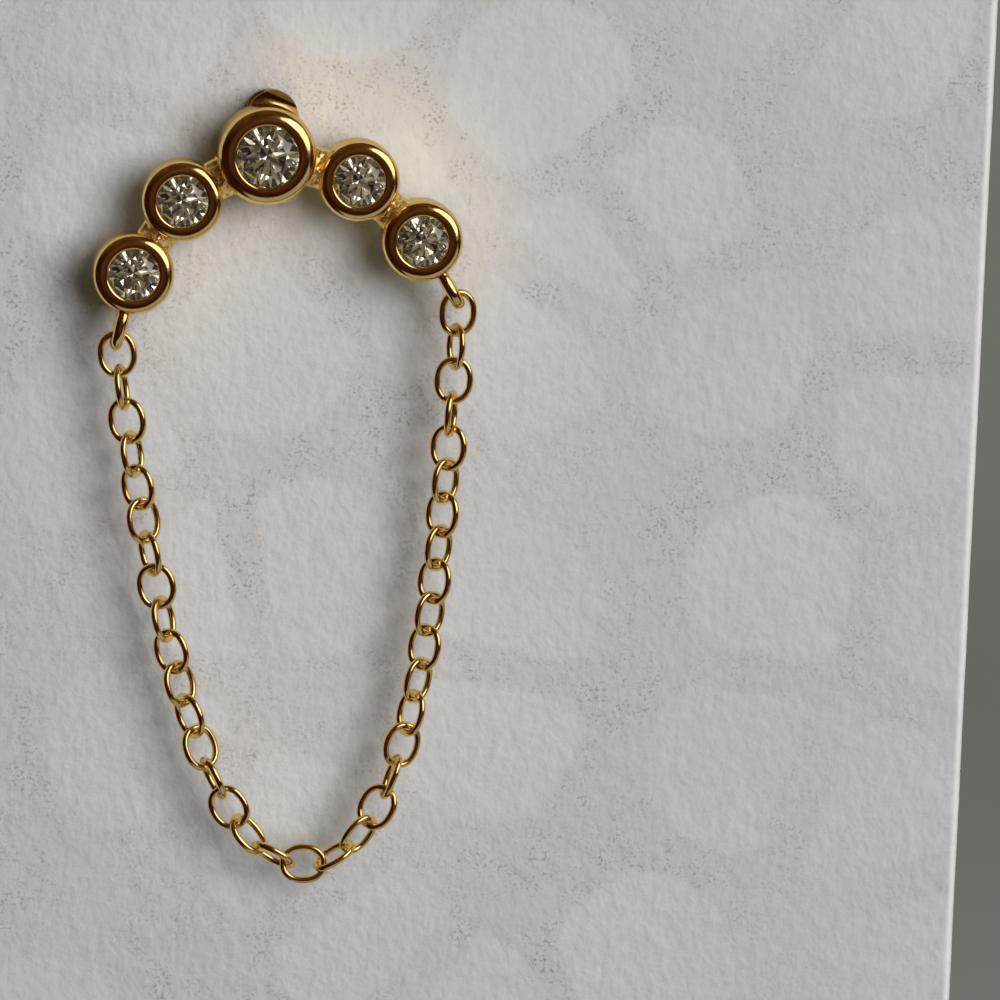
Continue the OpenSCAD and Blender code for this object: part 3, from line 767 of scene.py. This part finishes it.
# Painted highlight: within about 0.4 mm of the left and right edges the paper is painted near white, for the light
# its rounded cut edge catches.
from_side = maths(tree, "SUBTRACT", CARD_W / 2 * MM, maths(tree, "ABSOLUTE", sides["X"]))
painted_edge_highlight = between(tree, from_side, 0.22 * MM, 0.42 * MM, 1.0, 0.0)
coloured = add(tree, "ShaderNodeMix", {"Factor": painted_edge_highlight, "A": toned, "B": PAINTED_EDGE_HIGHLIGHT}, data_type="RGBA")
relief = maths(tree, "ADD", maths(tree, "MULTIPLY", fibres.outputs["Fac"], 0.065),
               maths(tree, "MULTIPLY", felt.outputs["Fac"], 0.11))
bump = add(tree, "ShaderNodeBump", {"Height": relief, "Strength": 1.0, "Distance": 1.0 * MM})
shader = add(tree, "ShaderNodeBsdfPrincipled", {"Base Color": coloured.outputs[2], "Roughness": 0.86,
                                                "Specular IOR Level": 0.2, "Normal": bump.outputs[0]})
add(tree, "ShaderNodeOutputMaterial", {"Surface": shader.outputs["BSDF"]})
print("paper material:", len(tree.nodes), "nodes")

# %% [markdown]
# The slab gets its tooth from the tree. Then it leans as the real card does, and a drill makes
# the hole for the post.

# %% Finish the card
card_mesh = run_tree(tooth_tree, slab, {"Tooth": 0.05, "Tooth Size": 1.6, "Material": paper})
mesh = carved(card_mesh, ("DIFFERENCE", prism(round_outline(CARD_HOLE), -2, 3, axis="Y")))
mesh.transform(Matrix.Scale(MM, 4) @ Matrix.Rotation(math.radians(CARD_LEAN), 4, "Y"))
mesh.shade_smooth()
mesh.set_sharp_from_angle(angle=math.radians(50))
piece_from("paper_card", mesh, paper, "card", slot="card")

# %% [markdown]
# ## Floor, camera and light
#
# The earring is held up by its post, so the floor lies well below it and is only there to give
# the other views some ground. It is plain and pale. Farther out it bends up into a wall, and its
# paint fades into one even grey-green tone, so the backdrop is the same from every side.

# %% Floor
FLOOR_Z, FLOOR_R, COVE_R, WALL_H = -200.0, 2600.0, 900.0, 2600.0
FADE_FROM, FADE_TO = 0.25, 1.3
FLOOR_PALE, BACKDROP = (0.62, 0.62, 0.61, 1), (0.228, 0.238, 0.208, 1)
sweep = ([(r, FLOOR_Z) for r in (0.0, 300.0, 900.0, FLOOR_R - COVE_R)]
         + arc((FLOOR_R - COVE_R, FLOOR_Z + COVE_R), COVE_R, -90, 0, 16, first=1) + [(FLOOR_R, FLOOR_Z + WALL_H)])
turns = 96
points = [(r * math.cos(2 * math.pi * k / turns), r * math.sin(2 * math.pi * k / turns), z)
          for r, z in sweep for k in range(turns)]
faces = [(i * turns + k, i * turns + (k + 1) % turns, (i + 1) * turns + (k + 1) % turns, (i + 1) * turns + k)
         for i in range(len(sweep) - 1) for k in range(turns)]
floor_mesh = mesh_of(points, faces, smooth_below=80)
floor = bpy.data.objects.new("floor", floor_mesh)
scene.collection.objects.link(floor)
floor.visible_glossy = floor.visible_diffuse = floor.visible_transmission = floor.visible_shadow = False
floor_paint = bpy.data.materials.new("pale_floor")
floor_paint.use_nodes = True
tree = floor_paint.node_tree
place = add(tree, "ShaderNodeTexCoord").outputs["Object"]
far = add(tree, "ShaderNodeVectorMath", {0: place}, operation="LENGTH").outputs["Value"]
fade = add(tree, "ShaderNodeMapRange", {"Value": far, "From Min": FADE_FROM, "From Max": FADE_TO})
paint = add(tree, "ShaderNodeMix", {"Factor": fade.outputs[0], "A": FLOOR_PALE, "B": (0, 0, 0, 1)},
            data_type="RGBA")
shader = tree.nodes["Principled BSDF"]
tree.links.new(paint.outputs[2], shader.inputs["Base Color"])
tree.links.new(fade.outputs[0], shader.inputs["Emission Strength"])
shader.inputs["Emission Color"].default_value = BACKDROP
shader.inputs["Specular IOR Level"].default_value = 0.0
shader.inputs["Roughness"].default_value = 0.85
floor_mesh.materials.append(floor_paint)

# %% [markdown]
# The photograph was taken from eight degrees above and nearly five from the left, with the
# camera rolled by two. So the picture's right and up are first written as two directions in the
# plane of the card, and the camera's place is found from the point that the middle of the
# picture shows.

# %% Camera
PICTURE, PX_PER_MM = 1000, 22.5
ORIGIN_PX = (265.9, 137.4)
ROLL, FROM_ABOVE, FROM_LEFT = math.radians(2.02), math.radians(8.0), math.radians(4.6)
CAMERA_D, CHAIN_Y = 400.0, -3.067
card_right = Vector((math.cos(ROLL), 0, -math.sin(ROLL)))
card_up = Vector((math.sin(ROLL), 0, math.cos(ROLL)))
aim = (card_right * (PICTURE / 2 - ORIGIN_PX[0]) - card_up * (PICTURE / 2 - ORIGIN_PX[1])) / PX_PER_MM
back = (Vector((0, -math.cos(FROM_ABOVE) * math.cos(FROM_LEFT), 0)) + card_up * math.sin(FROM_ABOVE)
        - card_right * math.cos(FROM_ABOVE) * math.sin(FROM_LEFT)).normalized()
right = card_up.cross(back).normalized()
up = back.cross(right)
data = bpy.data.cameras.new("camera")
camera = bpy.data.objects.new("camera", data)
scene.collection.objects.link(camera)
data.sensor_width = 36.0
data.lens = data.sensor_width * CAMERA_D * PX_PER_MM / PICTURE
data.clip_start, data.clip_end = 0.01, 50.0
place = (aim + Vector((0, CHAIN_Y, 0)) + back * CAMERA_D) * MM
camera.matrix_world = Matrix.Translation(place) @ Matrix((right, up, back)).transposed().to_4x4()
scene.camera = camera
print("camera at", [round(v / MM, 1) for v in place], "mm, lens", round(data.lens, 1))

# %% [markdown]
# The light is a window at the upper right in a dim, warm room. Paper and gold need different
# lights for it. Paper only feels how much light comes from where: one large lamp gives the soft,
# short shadows and a weak broad one fills them a little. Gold mirrors the window's shape: an
# oval panel becomes the crescent on every rim. Such a panel has two strengths. It is dim where
# we see its mirror image, so that the crescent stays yellow, and bright where its light goes over
# the gold to the card, because that is the warm glow beside the head and the chain. One more
# lamp, behind the card, is there for the views from the back.
#
# The rest of the room is a colour for each kind of ray. The metal sees a dark, warm room that is
# lighter overhead and a little cluttered, which turns the crowns of the rims deep brown. The
# stones see light and dark patches, and their facets break these into sparkle. The card gets a
# weak warm fill, and the camera sees the even backdrop.

# %% Light
def area_light(name, polar, clock, size, radiance, colour=(1, 1, 1), distance=0.6, oval=False):
    """An area light seen from the head: polar degrees off the card's normal, clock degrees clockwise from up.

    Its size is given outward from the normal and around it, in metres."""
    p, c = math.radians(polar), math.radians(clock)
    way = Vector((math.sin(p) * math.sin(c), -math.cos(p), math.sin(p) * math.cos(c)))
    outwards = Vector((math.cos(p) * math.sin(c), math.sin(p), math.cos(p) * math.cos(c)))
    data = bpy.data.lights.new(name, "AREA")
    data.shape, data.size, data.size_y = "ELLIPSE" if oval else "RECTANGLE", *size
    data.energy = radiance * math.pi * size[0] * size[1] * (math.pi / 4 if oval else 1)
    data.color = colour
    lamp = bpy.data.objects.new(name, data)
    scene.collection.objects.link(lamp)
    lamp.matrix_world = (Matrix.Translation(way * distance)
                         @ Matrix((outwards, way.cross(outwards), way)).transposed().to_4x4())
    lamp.visible_camera = False
    return lamp


def paper_light(*values, **settings):
    """A light that only matt surfaces know: gold and stones do not mirror it."""
    lamp = area_light(*values, **settings)
    lamp.visible_glossy = lamp.visible_transmission = False


def mirrored_light(name, polar, clock, size, seen, glow, colour=(1, 1, 1), oval=False):
    """A light that is only mirrored: dim when we look at its mirror image, bright when paper does."""
    lamp = area_light(name, polar, clock, size, glow, colour, distance=0.58, oval=oval)
    lamp.visible_diffuse = False
    lamp.data.use_nodes = True
    tree = lamp.data.node_tree
    tree.nodes.clear()
    from_paper = maths(tree, "GREATER_THAN", add(tree, "ShaderNodeLightPath").outputs["Diffuse Depth"], 0.5)
    power = between(tree, from_paper, 0.0, 1.0, seen / glow, 1.0)
    emission = add(tree, "ShaderNodeEmission", {"Strength": power})
    add(tree, "ShaderNodeOutputLight", {"Surface": emission.outputs[0]})


paper_light("sky", 25, 66, (0.81, 0.86), 8.4, distance=1.5)
paper_light("window", 46, 45, (0.64, 0.42), 0.32, (1.0, 0.985, 0.95))
mirrored_light("sky_in_gold", 24, 64, (0.27, 0.30), 0.0, 24.0)
mirrored_light("window_in_gold", 53, 61, (0.66, 0.52), 1.6, 9.0, (1.0, 0.985, 0.95), oval=True)
mirrored_light("fill_in_gold", 63, 158, (0.50, 1.1), 0.38, 0.38)
area_light("behind", 130, 10, (0.6, 0.8), 3.0, distance=0.8)

world = bpy.data.worlds.new("room")
scene.world = world
world.use_nodes = True
tree = world.node_tree
tree.nodes.clear()
ray = add(tree, "ShaderNodeLightPath").outputs
way = add(tree, "ShaderNodeTexCoord").outputs["Generated"]
ahead = add(tree, "ShaderNodeVectorMath", {0: way, 1: back}, operation="DOT_PRODUCT").outputs["Value"]


def either(share, first, second):
    """Mixes two colours or sockets in the world's tree."""
    return add(tree, "ShaderNodeMix", {"Factor": share, "A": first, "B": second}, data_type="RGBA").outputs[2]


overhead = add(tree, "ShaderNodeVectorMath", {0: way, 1: up + right * 0.3}, operation="DOT_PRODUCT").outputs["Value"]
off_axis = either(between(tree, overhead, 0.0, 0.35), (0.046, 0.014, 0.007, 1), (0.125, 0.064, 0.026, 1))
in_metal = either(between(tree, ahead, 0.86, 0.985), off_axis, (0.112, 0.053, 0.026, 1))
clutter = add(tree, "ShaderNodeTexNoise", {"Vector": way, "Scale": 3.5, "Detail": 3.0, "Roughness": 0.6})
clutter = between(tree, clutter.outputs["Fac"], 0.35, 0.65, 0.45, 1.5)
in_metal = add(tree, "ShaderNodeVectorMath", {0: in_metal, "Scale": clutter}, operation="SCALE").outputs[0]
facets = add(tree, "ShaderNodeTexNoise", {"Vector": way, "Scale": 4.2, "Detail": 2.0, "Roughness": 0.7})
in_stone = add(tree, "ShaderNodeValToRGB", {"Fac": facets.outputs["Fac"]})
in_stone.color_ramp.elements[0].position, in_stone.color_ramp.elements[0].color = 0.36, (0.030, 0.023, 0.016, 1)
in_stone.color_ramp.elements[1].position, in_stone.color_ramp.elements[1].color = 0.65, (3.2, 3.1, 2.8, 1)
for at, tone in ((0.46, (0.115, 0.098, 0.070, 1)), (0.56, (0.37, 0.33, 0.24, 1)), (0.61, (0.64, 0.59, 0.47, 1))):
    in_stone.color_ramp.elements.new(at).color = tone
in_stone = in_stone.outputs["Color"]
on_paper = (0.036, 0.031, 0.025, 1)
colour = either(ray["Is Transmission Ray"], either(ray["Is Diffuse Ray"], in_metal, on_paper), in_stone)
colour = either(ray["Is Camera Ray"], colour, BACKDROP)
background = add(tree, "ShaderNodeBackground", {"Color": colour, "Strength": 1.0})
add(tree, "ShaderNodeOutputWorld", {"Surface": background.outputs[0]})
